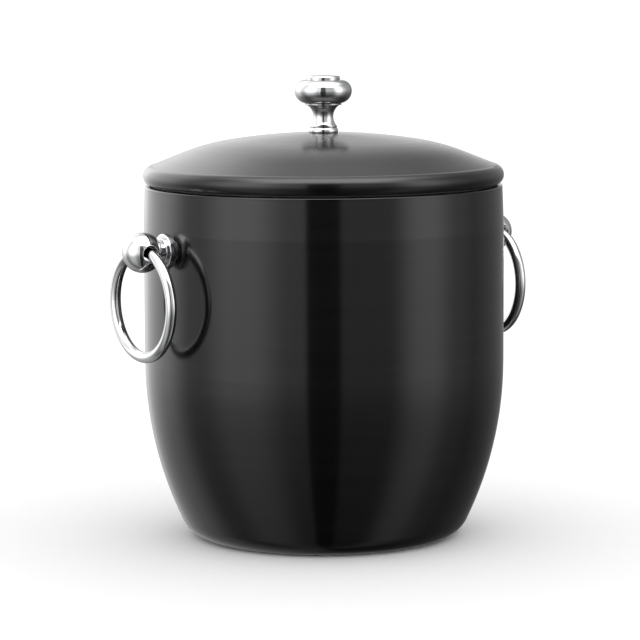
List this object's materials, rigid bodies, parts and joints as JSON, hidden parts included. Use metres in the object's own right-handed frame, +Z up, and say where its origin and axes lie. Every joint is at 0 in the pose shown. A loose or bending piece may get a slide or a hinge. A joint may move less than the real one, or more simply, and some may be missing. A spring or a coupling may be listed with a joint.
{
  "type": "ice bucket",
  "caption": "Double-walled round ice bucket with a lift-off domed lid, a turned knob and a free-swinging ring handle on each side.",
  "frame": {"origin": "centre of the flat underside", "axes": "+Z up along the bucket's axis; the ring handles stand on the X axis, the left one at -X; +Y is square to them"},
  "size_m": [0.2296, 0.184, 0.2356],
  "materials": {
    "black_lacquer": "satin-gloss black lacquer over finely brushed steel",
    "stainless": "fine circumferential brushing",
    "chrome": "mirror-polished chrome plating",
    "screw_steel": "plain zinc-plated steel",
    "seal_rubber": "matte black silicone rubber"
  },
  "bodies": {
    "bucket": {"outer_shell": "black_lacquer", "inner_liner": "stainless", "base_plate": "black_lacquer", "rosette_left": "chrome", "rosette_right": "chrome", "ball_left": "chrome", "ball_right": "chrome", "handle_screw_left": "screw_steel", "handle_screw_right": "screw_steel", "handle_washer_left": "screw_steel", "handle_washer_right": "screw_steel", "handle_lock_washer_left": "screw_steel", "handle_lock_washer_right": "screw_steel"},
    "left_handle": {"ring_left": "chrome"},
    "right_handle": {"ring_right": "chrome"},
    "lid": {"lid_cover": "black_lacquer", "lid_pan": "stainless", "lid_seal": "seal_rubber", "knob": "chrome", "knob_screw": "screw_steel", "knob_washer": "screw_steel", "knob_lock_washer": "screw_steel"}
  },
  "joints": [
    {"name": "lid_lift", "type": "slide", "parent": "bucket", "child": "lid", "axis": [0, 0, 1], "range_m": [0, 0.12]},
    {"name": "left_ring_swing", "type": "hinge", "parent": "bucket", "child": "left_handle", "pos_m": [-0.1048, 0, 0.1506], "axis": [0, 1, 0], "range_deg": [-10.5, 190]},
    {"name": "right_ring_swing", "type": "hinge", "parent": "bucket", "child": "right_handle", "pos_m": [0.1048, 0, 0.1506], "axis": [0, -1, 0], "range_deg": [-10.5, 190]}
  ]
}
